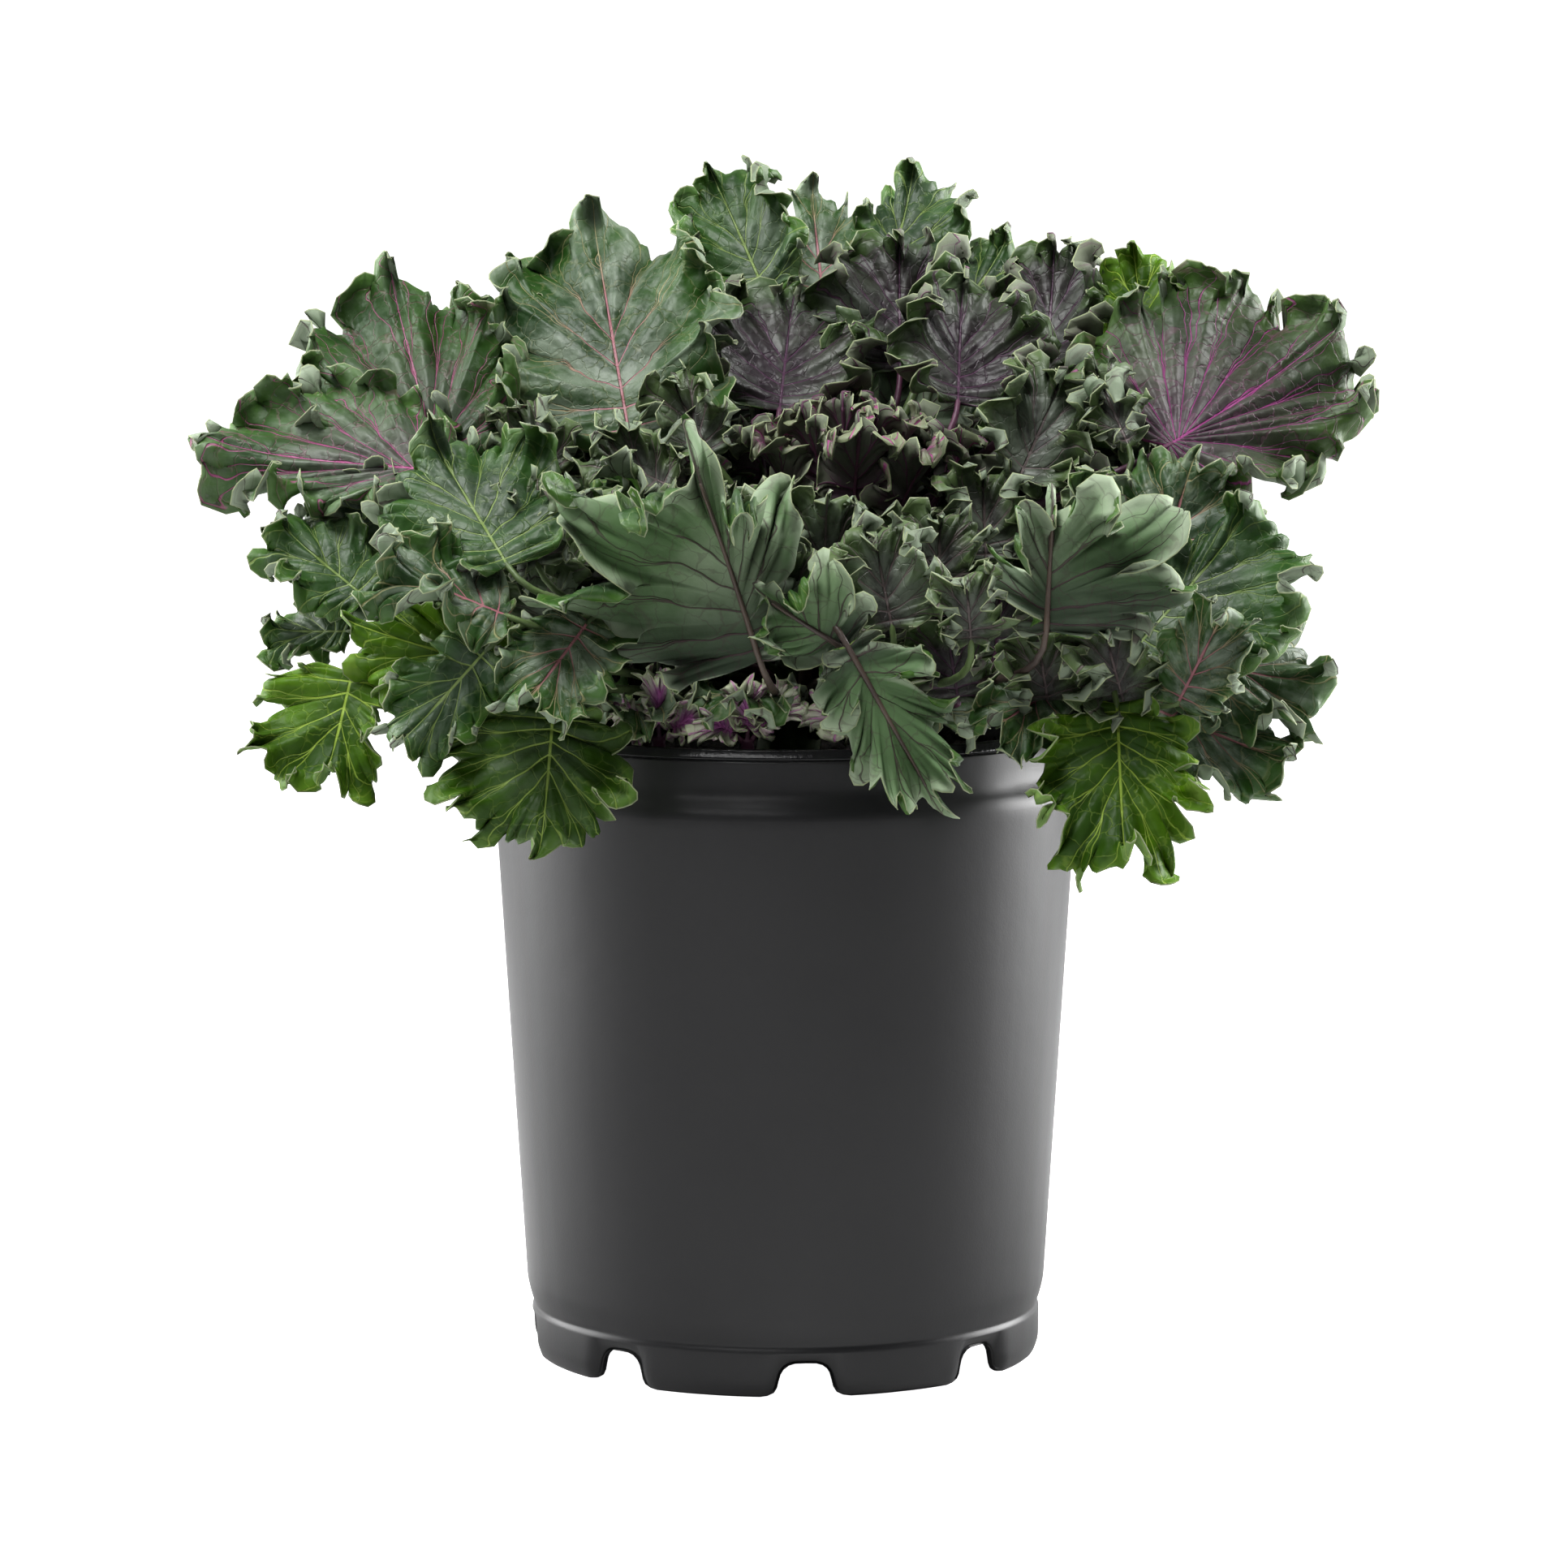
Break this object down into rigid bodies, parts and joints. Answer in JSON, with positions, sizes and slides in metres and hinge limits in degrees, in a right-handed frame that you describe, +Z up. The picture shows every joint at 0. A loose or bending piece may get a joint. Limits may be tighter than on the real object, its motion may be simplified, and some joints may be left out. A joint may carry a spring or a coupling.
{
  "type": "ornamental kale plant in a nursery pot",
  "caption": "Ornamental kale with a dense mound of ruffled, lobed leaves round a dark purple heart, growing in a round black plastic nursery pot with drain notches.",
  "frame": {"origin": "on the pot's axis, on the surface the pot stands on, under the middle of the whole plant", "axes": "+Z up along the pot's axis, -Y towards the front of the plant, +X to the right seen from the front"},
  "size_m": [0.3763, 0.264, 0.3891],
  "materials": {
    "pot_plastic": "satin black, blow-moulded, with a faint grain",
    "potting_soil": "dark, crumbly, matte",
    "green_leaf": "grey-green to deep green with a waxy bloom, pale veins and a cream edge",
    "purple_leaf": "dark purple with magenta ribs and a grey-green frilled edge",
    "pale_leaf": "lilac to cream, frilled"
  },
  "bodies": {
    "root": {"pot": "pot_plastic", "soil": "potting_soil", "kale_head": "green_leaf", "kale_heart": "purple_leaf", "side_shoot_left": "pale_leaf", "side_shoot_middle": "pale_leaf", "side_shoot_right": "pale_leaf"}
  },
  "joints": []
}
